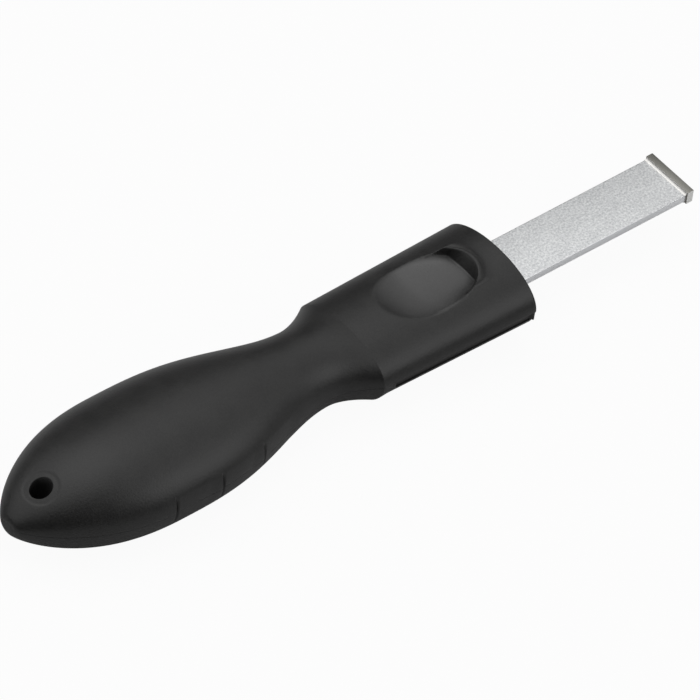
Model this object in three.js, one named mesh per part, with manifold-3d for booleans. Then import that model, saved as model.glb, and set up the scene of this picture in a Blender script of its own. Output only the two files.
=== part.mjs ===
// Carbide scraper. A black plastic handle in two shells, parted flat through the blade, grips a
// zinc-plated steel bar in its split head, and a carbide bar is brazed across the end of the bar.
// Millimetres. +X runs from the tail to the tip, +Z up, Y = 0 is the plane of symmetry.
import * as THREE from 'three';
import { mergeVertices } from 'three/addons/utils/BufferGeometryUtils.js';
import Module from 'manifold-3d';

const wasm = await Module();
wasm.setup();

// Lengths along the tool
const HANDLE_LENGTH = 127;
const HEAD_LENGTH = 39.7;
const BLADE_REACH = 48;
const TANG_LENGTH = 43;
const BULB_PLACE = 0.385;

// Half-widths, crown heights and belly depths of the handle from the seam plane, with where the neck lies
// along the grip and how full the tail is
const HALF_WIDTH = {
  tail: 2.2, bulb: 16.5, neck: 9.3, headRear: 13, headFront: 13.7, neckPlace: 0.885, tailFullness: 2.3,
};
const CROWN = {
  tail: 1, bulb: 10.5, neck: 6.8, headRear: 6.8, headFront: 7.4, neckPlace: 1, tailFullness: 2.75,
};
const BELLY = {
  tail: 2.2, bulb: 10.8, neck: 6.8, headRear: 8.8, headFront: 9, neckPlace: 0.885, tailFullness: 2.75,
};
const CROWN_ROUND = 2;
const BELLY_ROUND = 2;
const LOWER_JAW_INSET = 0.2;
const UNDERSIDE_FLAT = 2.2;
const TAIL_ROUNDNESS = 0.83;
const WAIST_LAG = 1.45;
const FLARE_POWER = 1.7;

// Shells
const WALL = 2.6;
const SEAM_GAP = 0.12;
const CLAMP_GAP = 2.2;
const CLAMP_GAP_DEPTH = 0.8;
const CLAMP_REAR_LAND = 3.4;

// Grip grooves in the sides of the bulb
const GROOVE_COUNT = 3;
const GROOVE_PITCH = 12.25;
const GROOVE_FIRST = 30;
const GROOVE_DEPTH = 0.6;
const GROOVE_HALF_WIDTH = 1.2;
const GROOVE_MIDDLE = 0.3;
const GROOVE_HALF_HEIGHT = 3.2;

// Hang hole with its sunk ring
const HANG_PLACE = 7.6;
const HANG_RADIUS = 2.25;
const HANG_RING_RADIUS = 3.7;
const HANG_RING_SINK = 0.5;

// Thumb scoop, a dished oval in the head, and the stop lip that rises from its front end
const SCOOP_FROM_FRONT = 19;
const SCOOP_REAR = 11;
const SCOOP_FRONT = 13;
const SCOOP_HALF_WIDTH = 7.2;
const SCOOP_DEPTH = 1.6;
const SCOOP_ROUND = 2.5;
const SCOOP_FLATNESS = 3;
const LIP_FROM_FRONT = 13.1;
const LIP_ARC_RADIUS = 6.3;
const LIP_HALF_SWEEP = THREE.MathUtils.degToRad(60);
const LIP_HEIGHT = 0.95;
const LIP_CREST_WIDTH = 0.6;
const LIP_WALL_RUN = 1.8;
const LIP_FALL_RUN = 1.7;
const LIP_SINK = 0.1;

// Blade, braze and carbide bar
const SHANK_WIDTH = 12.3;
const SHANK_THICKNESS = 1.9;
const SHANK_EDGE = 0.2;
const TIP_WIDTH = 12.7;
const TIP_DEPTH = 1.6;
const TIP_HEIGHT = 3;
const BRAZE_LAYER = 0.2;
const BRAZE_FILLET = 0.45;
const TANG_SIDE_CLEARANCE = 0.3;
const TANG_FACE_CLEARANCE = 0.1;
const TANG_STOP_CLEARANCE = 0.3;

// Hollows
const GRIP_HOLLOW_START = 14;
const TANG_STOP_WALL = 4.6;
const CORE_COUNT = 3;
const CORE_LENGTH = 8.4;
const CORE_RIB = 2.4;
const CORE_HALF_WIDTH = 4.2;
const CORE_DEPTH = 2.4;

// Screws, inserts and their seats
const HEAD_SCREW = { thread: 1.25, head: 2.25, headHeight: 1.5, seat: 3.4, length: 5.9 };
const GRIP_SCREW = { thread: 1.5, head: 2.8, headHeight: 2, seat: 4.2, length: 9 };
const HEAD_SCREW_PLACE = 0.62;
const HEAD_SCREW_SIDE_WALL = 0.4;
const INSERT_LENGTH = 2.4;
const INSERT_WALL = 0.75;
const INSERT_FLOOR = 0.4;
const GRIP_SCREW_PLACES = { rear: 21, front: 64 };
const BOSS_WALL = 1.4;
const SCREW_CLEARANCE = 0.3;
const DRIVE_DEPTH = 0.9;
const DRIVE_WIDTH = 0.7;
const DRIVE_SPAN = 0.62;
const SCREW_CHAMFER = 0.5;

// Facets
const RING_SEGMENTS = 24;
const TAIL_STEPS = 12;
const WAIST_STEPS = 9;
const FLARE_STEPS = 6;
const ROUND_SEGMENTS = 24;
const LIP_STEPS = 14;
const SCOOP_RINGS = 6;
const SCOOP_SEGMENTS = 40;
const GROOVE_STATIONS = [-1, -0.5, -0.2, 0, 0.2, 0.5, 1];
const WELD_DISTANCE = 1e-5;
const OVERSHOOT = 1;

// Each shell: its side of the seam, half-widths, heights from the seam, roundness of the section and the most
// that it stands from the seam
const UPPER = { side: 1, halfWidth: HALF_WIDTH, height: CROWN, round: CROWN_ROUND, limit: CROWN.bulb };
const LOWER = {
  side: -1,
  halfWidth: lowerHalfWidth(),
  height: BELLY,
  round: BELLY_ROUND,
  limit: BELLY.bulb - UNDERSIDE_FLAT,
};

// Half-widths of the lower shell, which stands in under the upper one at the head
function lowerHalfWidth() {
  const { headRear, headFront } = HALF_WIDTH;
  return { ...HALF_WIDTH, headRear: headRear - LOWER_JAW_INSET, headFront: headFront - LOWER_JAW_INSET };
}

// Places that follow from the driving sizes
const GRIP_LENGTH = HANDLE_LENGTH - HEAD_LENGTH;
const BULB_X = GRIP_LENGTH * BULB_PLACE;
const NECK_X = GRIP_LENGTH * HALF_WIDTH.neckPlace;
const UNDERSIDE_DEPTH = LOWER.limit;
const OVERALL_LENGTH = HANDLE_LENGTH + BLADE_REACH;
const TANG_END_X = HANDLE_LENGTH - TANG_LENGTH;
const SHANK_END_X = OVERALL_LENGTH - TIP_DEPTH - BRAZE_LAYER;
const SLOT_END_X = TANG_END_X - TANG_STOP_CLEARANCE;
const SLOT_HALF_WIDTH = SHANK_WIDTH / 2 + TANG_SIDE_CLEARANCE;
const SLOT_HALF_HEIGHT = SHANK_THICKNESS / 2 + TANG_FACE_CLEARANCE;
const GRIP_HOLLOW_END = SLOT_END_X - TANG_STOP_WALL;
const INSERT_RADIUS = HEAD_SCREW.thread + INSERT_WALL;
const INSERT_SEAT_RADIUS = INSERT_RADIUS + SCREW_CLEARANCE / 2;
const HEAD_SCREW_Y = SLOT_HALF_WIDTH + HEAD_SCREW_SIDE_WALL + INSERT_SEAT_RADIUS;
const HEAD_SCREW_X = GRIP_LENGTH + HEAD_LENGTH * HEAD_SCREW_PLACE;

// Size of a handle profile at x: a blunt rounded tail, the bulb, the waist, then the straight head. The top
// falls all the way to the head, and the sides and the belly flare out to it from a neck.
function profileAt(sizes, x) {
  const neckX = GRIP_LENGTH * sizes.neckPlace;
  if (x <= BULB_X) {
    const rise = (1 - (1 - x / BULB_X) ** sizes.tailFullness) ** TAIL_ROUNDNESS;
    return THREE.MathUtils.lerp(sizes.tail, sizes.bulb, rise);
  }
  if (x <= neckX) {
    const t = ((x - BULB_X) / (neckX - BULB_X)) ** WAIST_LAG;
    return THREE.MathUtils.lerp(sizes.bulb, sizes.neck, 0.5 - 0.5 * Math.cos(Math.PI * t));
  }
  if (x <= GRIP_LENGTH) {
    const t = (x - neckX) / (GRIP_LENGTH - neckX);
    return THREE.MathUtils.lerp(sizes.neck, sizes.headRear, t ** FLARE_POWER);
  }
  return THREE.MathUtils.lerp(sizes.headRear, sizes.headFront, (x - GRIP_LENGTH) / HEAD_LENGTH);
}

// Height of the crown above the seam plane over a point of the plan
function crownAt(x, y) {
  const across = Math.abs(y) / profileAt(HALF_WIDTH, x);
  return profileAt(CROWN, x) * (1 - across ** CROWN_ROUND) ** (1 / CROWN_ROUND);
}

const groovePlaces = Array.from({ length: GROOVE_COUNT }, (_, i) => GROOVE_FIRST + i * GROOVE_PITCH);

// Depth of the grip grooves at a place along the handle and a height from the seam plane
function grooveAt(x, z) {
  const height = Math.max(0, 1 - ((z - GROOVE_MIDDLE) / GROOVE_HALF_HEIGHT) ** 2);
  const across = groovePlaces.map((place) => Math.max(0, 1 - Math.abs(x - place) / GROOVE_HALF_WIDTH));
  return GROOVE_DEPTH * height * Math.max(...across) ** 2;
}

// Evenly spaced values from a to b, without b
function steps(a, b, count) {
  return Array.from({ length: count }, (_, i) => a + (b - a) * (i / count));
}

// Places of the sections along the outside of the handle, closer at the tail and at each groove
function outerStations() {
  const tail = steps(0, 1, TAIL_STEPS).map((t) => BULB_X * t * t);
  const waist = steps(BULB_X, NECK_X, WAIST_STEPS);
  const flare = steps(NECK_X, GRIP_LENGTH, FLARE_STEPS);
  const offsets = GROOVE_STATIONS.map((part) => part * GROOVE_HALF_WIDTH);
  const clear = (x) => groovePlaces.every((place) => Math.abs(x - place) > GROOVE_HALF_WIDTH);
  const grooves = groovePlaces.flatMap((place) => offsets.map((offset) => place + offset));
  const plain = [...tail, ...waist, ...flare].filter(clear);
  return [...plain, ...grooves, GRIP_LENGTH, HANDLE_LENGTH].sort((a, b) => a - b);
}

// Closed body through rings with the same number of points, turned over where the rings run the other way
function ringLoft(rings, turned) {
  const count = rings[0].length;
  const triangles = [];
  const add = (a, b, c) => triangles.push(...(turned ? [a, c, b] : [a, b, c]));
  for (let i = 0; i + 1 < rings.length; i += 1) {
    for (let j = 0; j < count; j += 1) {
      const next = (j + 1) % count;
      const [a, b] = [i * count + j, i * count + next];
      add(a, a + count, b);
      add(b, a + count, b + count);
    }
  }
  const last = (rings.length - 1) * count;
  for (let j = 1; j + 1 < count; j += 1) {
    add(0, j, j + 1);
    add(last, last + j + 1, last + j);
  }
  const geometry = new THREE.BufferGeometry();
  geometry.setAttribute('position', new THREE.Float32BufferAttribute(rings.flat(2), 3));
  geometry.setIndex(triangles);
  return solidOf(geometry);
}

// Closed half body on one side of the seam, from one arch of points at each station
function halfLoft(stations, arch, side) {
  const rings = stations.map((x) => arch(x).map(([y, z]) => [x, y, side * z]));
  return ringLoft(rings, side > 0);
}

// Outside of one shell before anything is cut, its sections drawn in by the grip grooves
function outerBody({ side, halfWidth, height, round }) {
  const arch = (x) => archPoints(SEAM_GAP / 2, profileAt(height, x), round, (z) => {
    return profileAt(halfWidth, x) - grooveAt(x, side * z);
  });
  return halfLoft(outerStations(), arch, side);
}

// Hollow of the bulb and the neck in one shell, a wall inside it and open through the seam face
function gripHollow({ side, halfWidth, height, round, limit }) {
  const stations = [...steps(GRIP_HOLLOW_START, GRIP_HOLLOW_END, TAIL_STEPS), GRIP_HOLLOW_END];
  const topAt = (x) => Math.min(profileAt(height, x), limit) - WALL;
  const arch = (x) => archPoints(-SEAM_GAP / 2, topAt(x), round, () => profileAt(halfWidth, x) - WALL);
  return halfLoft(stations, arch, side);
}

// Points of a half superellipse from base to top, with a half-width that may vary with height
function archPoints(base, top, round, halfWidthAt) {
  return Array.from({ length: RING_SEGMENTS + 1 }, (_, j) => {
    const angle = (Math.PI * j) / RING_SEGMENTS;
    const across = Math.sign(RING_SEGMENTS / 2 - j) * Math.abs(Math.cos(angle)) ** (2 / round);
    const z = base + (top - base) * Math.abs(Math.sin(angle)) ** (2 / round);
    return [halfWidthAt(z) * across, z];
  });
}

// Solid from a closed three.js geometry
function solidOf(geometry) {
  geometry.deleteAttribute('normal');
  geometry.deleteAttribute('uv');
  const merged = mergeVertices(geometry, WELD_DISTANCE);
  const vertProperties = new Float32Array(merged.attributes.position.array);
  const triVerts = new Uint32Array(merged.index.array);
  return new wasm.Manifold(new wasm.Mesh({ numProp: 3, vertProperties, triVerts }));
}

// Three.js geometry from a solid
function geometryOf(solid) {
  const { vertProperties, triVerts } = solid.getMesh();
  const geometry = new THREE.BufferGeometry();
  geometry.setAttribute('position', new THREE.BufferAttribute(new Float32Array(vertProperties), 3));
  geometry.setIndex(new THREE.BufferAttribute(new Uint32Array(triVerts), 1));
  geometry.computeVertexNormals();
  return geometry;
}

// Box between two corners
function boxSolid(low, high) {
  const size = high.map((value, i) => value - low[i]);
  const centre = high.map((value, i) => (value + low[i]) / 2);
  return solidOf(new THREE.BoxGeometry(...size).translate(...centre));
}

// Upright cylinder between two heights
function postSolid(radius, x, y, bottom, top) {
  const geometry = new THREE.CylinderGeometry(radius, radius, top - bottom, ROUND_SEGMENTS);
  return solidOf(geometry.rotateX(Math.PI / 2).translate(x, y, (top + bottom) / 2));
}

// Ring of the scoop at a share of its oval, which reaches further ahead of its middle than behind it
function scoopRing(share, heightAt) {
  return steps(0, 2 * Math.PI, SCOOP_SEGMENTS).map((angle) => {
    const [along, across] = [Math.cos(angle), Math.sin(angle)].map((value) => {
      return share * Math.sign(value) * Math.abs(value) ** (2 / SCOOP_ROUND);
    });
    const x = HANDLE_LENGTH - SCOOP_FROM_FRONT + along * (along > 0 ? SCOOP_FRONT : SCOOP_REAR);
    const y = across * SCOOP_HALF_WIDTH;
    return [x, y, heightAt(x, y)];
  });
}

// Space of the thumb scoop: a dished floor under the crown, open at the top
function scoopSolid() {
  const floor = Array.from({ length: SCOOP_RINGS }, (_, k) => {
    const share = Math.sin((Math.PI / 2) * ((k + 1) / SCOOP_RINGS));
    const depth = SCOOP_DEPTH * (1 - share ** SCOOP_FLATNESS) ** 0.5;
    return scoopRing(share, (x, y) => crownAt(x, y) - depth);
  });
  const top = scoopRing(1, () => CROWN.headFront + OVERSHOOT);
  return ringLoft([...floor, top], true);
}

// Stop lip: a steep wall up from the scoop's floor to a narrow crest, then a slope down onto the crown
function lipSolid() {
  const section = [
    [-LIP_WALL_RUN, -SCOOP_DEPTH], [-LIP_CREST_WIDTH / 2, LIP_HEIGHT], [LIP_CREST_WIDTH / 2, LIP_HEIGHT],
    [LIP_FALL_RUN / 2, LIP_HEIGHT / 4], [LIP_FALL_RUN, -LIP_SINK], [LIP_FALL_RUN, -SCOOP_DEPTH],
  ];
  const rings = Array.from({ length: LIP_STEPS + 1 }, (_, i) => {
    const angle = LIP_HALF_SWEEP * ((2 * i) / LIP_STEPS - 1);
    return section.map(([offset, height]) => {
      const radius = LIP_ARC_RADIUS + offset;
      const x = HANDLE_LENGTH - LIP_FROM_FRONT + radius * Math.cos(angle);
      const y = radius * Math.sin(angle);
      return [x, y, crownAt(x, y) + height];
    });
  });
  return ringLoft(rings, true);
}

// Disc that sinks a ring round the hang hole, square to the slope of the crown there
function hangRingSolid() {
  const [rear, front] = [-HANG_RADIUS, HANG_RADIUS].map((offset) => crownAt(HANG_PLACE + offset, 0));
  const slope = (front - rear) / (2 * HANG_RADIUS);
  const disc = new THREE.CylinderGeometry(HANG_RING_RADIUS, HANG_RING_RADIUS, WALL, ROUND_SEGMENTS);
  disc.rotateX(Math.PI / 2).translate(0, 0, WALL / 2 - HANG_RING_SINK).rotateY(-Math.atan(slope));
  return solidOf(disc.translate(HANG_PLACE, 0, crownAt(HANG_PLACE, 0)));
}

// Slot for the tang, open at the head's front face
function tangSlotSolid() {
  const low = [SLOT_END_X, -SLOT_HALF_WIDTH, -SLOT_HALF_HEIGHT];
  return boxSolid(low, [HANDLE_LENGTH + OVERSHOOT, SLOT_HALF_WIDTH, SLOT_HALF_HEIGHT]);
}

// Moulded pockets that core out the head above (side 1) or below (side -1) the tang, with ribs between
function coreSolids(side) {
  const pitch = CORE_LENGTH + CORE_RIB;
  const start = GRIP_LENGTH + (HEAD_LENGTH - CORE_COUNT * pitch + CORE_RIB) / 2;
  const heights = [0, side * (SLOT_HALF_HEIGHT + CORE_DEPTH)].sort((a, b) => a - b);
  return Array.from({ length: CORE_COUNT }, (_, i) => {
    const x = start + i * pitch;
    return boxSolid([x, -CORE_HALF_WIDTH, heights[0]], [x + CORE_LENGTH, CORE_HALF_WIDTH, heights[1]]);
  });
}

const gripScrewXs = Object.values(GRIP_SCREW_PLACES);
const headScrewYs = [HEAD_SCREW_Y, -HEAD_SCREW_Y];

function upperShell() {
  let shell = outerBody(UPPER).subtract(scoopSolid()).add(lipSolid()).subtract(gripHollow(UPPER));
  for (const x of gripScrewXs) {
    const roof = crownAt(x, 0) - WALL / 2;
    const bore = GRIP_SCREW.thread + SCREW_CLEARANCE / 2;
    shell = shell.add(postSolid(bore + BOSS_WALL, x, 0, SEAM_GAP / 2, roof));
    const tip = GRIP_SCREW.length - GRIP_SCREW.seat + SCREW_CLEARANCE;
    shell = shell.subtract(postSolid(bore, x, 0, -OVERSHOOT, tip));
  }
  for (const y of headScrewYs) {
    const top = INSERT_FLOOR + INSERT_LENGTH + SCREW_CLEARANCE / 2;
    shell = shell.subtract(postSolid(INSERT_SEAT_RADIUS, HEAD_SCREW_X, y, -OVERSHOOT, top));
  }
  for (const core of coreSolids(1)) shell = shell.subtract(core);
  const hole = postSolid(HANG_RADIUS, HANG_PLACE, 0, -OVERSHOOT, profileAt(CROWN, BULB_X));
  return shell.subtract(tangSlotSolid()).subtract(hangRingSolid()).subtract(hole);
}

function lowerShell() {
  let shell = outerBody(LOWER).subtract(gripHollow(LOWER));
  for (const x of gripScrewXs) {
    const floor = -profileAt(BELLY, x) + WALL / 2;
    const seatRadius = GRIP_SCREW.head + SCREW_CLEARANCE;
    shell = shell.add(postSolid(seatRadius + BOSS_WALL, x, 0, floor, -SEAM_GAP / 2));
    shell = shell.subtract(postSolid(GRIP_SCREW.thread + SCREW_CLEARANCE, x, 0, floor, OVERSHOOT));
    const deep = -profileAt(BELLY, BULB_X) - OVERSHOOT;
    shell = shell.subtract(postSolid(seatRadius, x, 0, deep, -GRIP_SCREW.seat));
  }
  for (const y of headScrewYs) {
    const deep = -profileAt(BELLY, HANDLE_LENGTH) - OVERSHOOT;
    const shank = HEAD_SCREW.thread + SCREW_CLEARANCE;
    shell = shell.subtract(postSolid(shank, HEAD_SCREW_X, y, deep, OVERSHOOT));
    const seatRadius = HEAD_SCREW.head + SCREW_CLEARANCE;
    shell = shell.subtract(postSolid(seatRadius, HEAD_SCREW_X, y, deep, -HEAD_SCREW.seat));
  }
  for (const core of coreSolids(-1)) shell = shell.subtract(core);
  for (const side of [1, -1]) shell = shell.subtract(clampGapSolid(side));
  const hole = postSolid(HANG_RADIUS, HANG_PLACE, 0, -profileAt(BELLY, BULB_X), OVERSHOOT);
  const below = [-OVERSHOOT, -2 * HALF_WIDTH.bulb, -2 * BELLY.bulb];
  const land = boxSolid(below, [HANDLE_LENGTH, 2 * HALF_WIDTH.bulb, -UNDERSIDE_DEPTH]);
  return shell.subtract(tangSlotSolid()).subtract(hole).subtract(land);
}

// Rebate along one side of the head, open at the front, that keeps the shells' rims apart as the screws draw
// the head shut on the tang
function clampGapSolid(side) {
  const rear = GRIP_LENGTH + CLAMP_REAR_LAND;
  const front = HANDLE_LENGTH + OVERSHOOT;
  const edges = [side * (HALF_WIDTH.headRear - CLAMP_GAP_DEPTH), side * 2 * HALF_WIDTH.headFront];
  const [left, right] = edges.sort((a, b) => a - b);
  return boxSolid([rear, left, -CLAMP_GAP], [front, right, OVERSHOOT]);
}

// Flat bar with lightly broken edges, from the end of the tang to the braze
function bladeShank() {
  const [w, h, e] = [SHANK_WIDTH / 2, SHANK_THICKNESS / 2, SHANK_EDGE];
  const corners = [[w - e, -h], [w, -h + e], [w, h - e], [w - e, h]];
  const mirrored = corners.map(([y, z]) => [-y, -z]);
  const section = new THREE.Shape([...corners, ...mirrored].map(([y, z]) => new THREE.Vector2(y, z)));
  const depth = SHANK_END_X - TANG_END_X;
  const geometry = new THREE.ExtrudeGeometry(section, { depth, bevelEnabled: false });
  const turn = new THREE.Matrix4().makeBasis(
    new THREE.Vector3(0, 1, 0),
    new THREE.Vector3(0, 0, 1),
    new THREE.Vector3(1, 0, 0),
  );
  return solidOf(geometry.applyMatrix4(turn).translate(TANG_END_X, 0, 0));
}

// Braze: a layer on the bar's end with a fillet on the faces above and below
function brazeJoint() {
  const top = TIP_HEIGHT / 2 - BRAZE_LAYER / 2;
  const face = SHANK_THICKNESS / 2;
  const outline = [
    [BRAZE_LAYER, top], [0, top], [-BRAZE_FILLET, face], [0, face],
    [0, -face], [-BRAZE_FILLET, -face], [0, -top], [BRAZE_LAYER, -top],
  ];
  const section = new THREE.Shape(outline.map(([x, z]) => new THREE.Vector2(x, z)));
  const geometry = new THREE.ExtrudeGeometry(section, { depth: SHANK_WIDTH, bevelEnabled: false });
  return solidOf(geometry.rotateX(Math.PI / 2).translate(SHANK_END_X, SHANK_WIDTH / 2, 0));
}

function carbideTip() {
  const rear = OVERALL_LENGTH - TIP_DEPTH;
  const [w, h] = [TIP_WIDTH / 2, TIP_HEIGHT / 2];
  return boxSolid([rear, -w, -h], [OVERALL_LENGTH, w, h]);
}

// Pan-head screw seated below the seam, shank up, with a cross recess in the head
function screw({ thread, head, headHeight, seat, length }, x, y) {
  const low = -headHeight;
  const profile = [
    [0, low], [head - SCREW_CHAMFER, low], [head, low + SCREW_CHAMFER], [head, 0],
    [thread, 0], [thread, length - thread], [thread / 2, length], [0, length],
  ];
  const points = profile.map(([radius, height]) => new THREE.Vector2(radius, height));
  let solid = solidOf(new THREE.LatheGeometry(points, ROUND_SEGMENTS).rotateX(Math.PI / 2));
  const [half, reach] = [DRIVE_WIDTH / 2, head * DRIVE_SPAN];
  const floor = low + DRIVE_DEPTH;
  solid = solid.subtract(boxSolid([-reach, -half, low - OVERSHOOT], [reach, half, floor]));
  solid = solid.subtract(boxSolid([-half, -reach, low - OVERSHOOT], [half, reach, floor]));
  return solid.translate([x, y, -seat]);
}

// Brass thread pressed into the upper shell beside the tang
function insert(y) {
  const bore = HEAD_SCREW.thread + SCREW_CLEARANCE / 2;
  const top = INSERT_FLOOR + INSERT_LENGTH;
  const profile = [
    [bore, INSERT_FLOOR], [INSERT_RADIUS, INSERT_FLOOR], [INSERT_RADIUS, top], [bore, top],
    [bore, INSERT_FLOOR],
  ];
  const points = profile.map(([radius, height]) => new THREE.Vector2(radius, height));
  const geometry = new THREE.LatheGeometry(points, ROUND_SEGMENTS).rotateX(Math.PI / 2);
  return solidOf(geometry.translate(HEAD_SCREW_X, y, 0));
}

// Materials
const plastic = () => new THREE.MeshStandardMaterial({ color: 0x1d1d1e, roughness: 0.62, metalness: 0 });
const zinc = () => new THREE.MeshStandardMaterial({ color: 0xc3c5c7, roughness: 0.42, metalness: 1 });
const carbide = () => new THREE.MeshStandardMaterial({ color: 0x7f807a, roughness: 0.35, metalness: 1 });
const silver = () => new THREE.MeshStandardMaterial({ color: 0xe8e4da, roughness: 0.3, metalness: 1 });
const steel = () => new THREE.MeshStandardMaterial({ color: 0x8d9093, roughness: 0.35, metalness: 1 });
const brass = () => new THREE.MeshStandardMaterial({ color: 0xb5974f, roughness: 0.35, metalness: 1 });

const pieces = [
  ['upper_shell', upperShell(), plastic()],
  ['lower_shell', lowerShell(), plastic()],
  ['blade_shank', bladeShank(), zinc()],
  ['braze_joint', brazeJoint(), silver()],
  ['carbide_tip', carbideTip(), carbide()],
  ['head_screw_left', screw(HEAD_SCREW, HEAD_SCREW_X, HEAD_SCREW_Y), steel()],
  ['head_screw_right', screw(HEAD_SCREW, HEAD_SCREW_X, -HEAD_SCREW_Y), steel()],
  ['head_insert_left', insert(HEAD_SCREW_Y), brass()],
  ['head_insert_right', insert(-HEAD_SCREW_Y), brass()],
  ['grip_screw_rear', screw(GRIP_SCREW, GRIP_SCREW_PLACES.rear, 0), steel()],
  ['grip_screw_front', screw(GRIP_SCREW, GRIP_SCREW_PLACES.front, 0), steel()],
];

// The origin is under the middle of the tool, on the surface that the belly rests on
const scraper = new THREE.Group();
scraper.position.set(-OVERALL_LENGTH / 2, 0, UNDERSIDE_DEPTH);
for (const [name, solid, material] of pieces) {
  const mesh = new THREE.Mesh(geometryOf(solid), material);
  mesh.name = name;
  scraper.add(mesh);
}

const carbideScraper = new THREE.Group();
carbideScraper.add(scraper);

export default carbideScraper;
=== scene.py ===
# Carbide scraper. Two black plastic shells close on a flat steel bar that has a carbide bar brazed across
# its end. Shapes are worked out in millimetres from the tail of the handle and from its seam, and are
# then placed, in metres, where the solids of the frame are.
import bmesh
import bpy
import numpy as np
from mathutils import Matrix, Vector


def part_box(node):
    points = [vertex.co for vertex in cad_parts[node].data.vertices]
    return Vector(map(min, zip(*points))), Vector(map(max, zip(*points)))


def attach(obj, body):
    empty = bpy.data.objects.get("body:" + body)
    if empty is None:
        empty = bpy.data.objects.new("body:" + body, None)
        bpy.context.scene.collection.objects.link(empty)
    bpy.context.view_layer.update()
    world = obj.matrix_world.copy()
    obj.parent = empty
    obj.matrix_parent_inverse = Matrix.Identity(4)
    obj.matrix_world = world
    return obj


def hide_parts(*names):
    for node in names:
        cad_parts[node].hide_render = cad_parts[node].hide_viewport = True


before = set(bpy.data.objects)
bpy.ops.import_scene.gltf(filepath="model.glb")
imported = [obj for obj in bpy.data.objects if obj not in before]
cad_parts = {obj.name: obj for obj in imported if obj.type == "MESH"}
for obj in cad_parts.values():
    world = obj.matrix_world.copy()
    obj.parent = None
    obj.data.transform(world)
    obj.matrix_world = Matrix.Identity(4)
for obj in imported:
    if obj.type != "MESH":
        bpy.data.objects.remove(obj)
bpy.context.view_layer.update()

# Upper shell: the top half of the handle, injection moulded in black plastic with a spark-eroded grain.
# It has the bulb, the waist, the straight head with the thumb scoop and stop lip, and the hang hole.
# Screws from below draw it down on the lower shell and on the steel bar.
MM = 0.001
HANDLE_LENGTH = 127.0
HEAD_START = 87.3
BULB_X = 0.385 * HEAD_START
HALF_WIDTH = {"tail": 2.2, "bulb": 16.5, "neck": 9.3, "head_rear": 13.0, "head_front": 13.7,
              "neck_place": 0.885, "tail_fullness": 2.3}
CROWN = {"tail": 1.0, "bulb": 10.5, "neck": 6.8, "head_rear": 6.8, "head_front": 7.4,
         "neck_place": 1.0, "tail_fullness": 2.75}
NECK_RISE, NECK_RISE_START, NECK_RISE_SCALE = 0.4, 70.0, 6.75
TAIL_ROUNDNESS, WAIST_LAG, FLARE_POWER = 0.83, 1.45, 1.7
SEAM = 0.012
SEAM_ROUND = 0.05
END_ROUND = 0.4
WALL = 2.6
HOLLOW_START, HOLLOW_END = 14.0, 79.1
SLOT_START, SLOT_HALF_WIDTH, SLOT_HALF_HEIGHT = 83.7, 6.45, 1.05
HANG_X, HANG_RADIUS, HANG_EDGE = 7.6, 2.25, 0.15
HANG_RING_RADIUS, HANG_RING_SINK, HANG_RING_EDGE = 3.4, 0.18, 0.7
GROOVE_FIRST, GROOVE_PITCH, GROOVE_COUNT = 29.95, 12.25, 3
GROOVE_MIDDLE, GROOVE_HALF_HEIGHT = 0.3, 3.2
GROOVE_CUT_DEPTH, GROOVE_DROP, GROOVE_RUN = 1.0, 0.1, 0.75
GROOVE_STEP_DEPTH, GROOVE_STEP_RISE, GROOVE_CROWDING = 0.3, 3.6, 1.5
SCOOP_X, SCOOP_DEPTH, SCOOP_EASE = 106.0, 1.65, 0.2
SCOOP_REAR, SCOOP_FRONT, SCOOP_ACROSS, SCOOP_CORNER = 0.018, 0.0005, 0.0105, 2e-7
LIP_X, LIP_RADIUS, LIP_LEAST_WALL, LIP_STEEPNESS = 113.85, 6.2, 0.5, 1.15
LIP_FOOT, LIP_FOOT_BEND = 118.2, 0.02
LIP_HEIGHT, LIP_CREST, LIP_FALL, LIP_FALL_POWER, LIP_ENDS = 0.95, 0.3, 1.4, 1.6, (5.1, 6.2)
SIDE_COLUMNS, SIDE_EVEN_SHARE, SIDE_CUBED_SHARE = 72, 0.6, 0.4
RIM_COLUMNS = 4
CEILING_COLUMNS, SOLID_RIM_SHARE = 12, 0.6
HANG_STEPS, TAIL_STEPS, FRONT_STEPS = 41, 6, 7
HANG_FINE_END, SCOOP_FINE_START, LIP_FINE_START, LIP_FINE_END = 12.5, 95.0, 115.0, 123.6
WELD_DISTANCE, SHARP = 2e-7, np.radians(65)
ORIGIN = Vector((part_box("upper_shell")[0].x, 0, sum(c.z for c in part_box("blade_shank")) / 2))


def along_head(x):
    """Share of the way along the head, from its crease to its front."""
    return np.clip((x - HEAD_START) / (HANDLE_LENGTH - HEAD_START), 0, 1)


def along_handle(sizes, x):
    """A size of the handle at x. It rises from the tail to the bulb as (1 - (1 - t)^a)^b, falls to the neck
    as half a cosine wave of a power of t, flares to the head as a power of t and runs straight along the
    head."""
    neck_x = HEAD_START * sizes["neck_place"]
    tail = (1 - (1 - np.clip(x / BULB_X, 0, 1)) ** sizes["tail_fullness"]) ** TAIL_ROUNDNESS
    waist = 0.5 - 0.5 * np.cos(np.pi * np.clip((x - BULB_X) / (neck_x - BULB_X), 0, 1) ** WAIST_LAG)
    flare = np.clip((x - neck_x) / max(HEAD_START - neck_x, MM), 0, 1) ** FLARE_POWER
    names = ("tail", "bulb", "neck", "head_rear", "head_front")
    gains = [sizes[b] - sizes[a] for a, b in zip(names, names[1:])]
    return sizes["tail"] + sum(gain * t for gain, t in zip(gains, (tail, waist, flare, along_head(x))))


def end_inset(x):
    """How far the outside draws in at the two ends of the handle, along a quarter circle."""
    reach = np.maximum(END_ROUND - x, x - HANDLE_LENGTH + END_ROUND).clip(0, END_ROUND)
    return END_ROUND - np.sqrt(END_ROUND ** 2 - reach ** 2)


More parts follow.
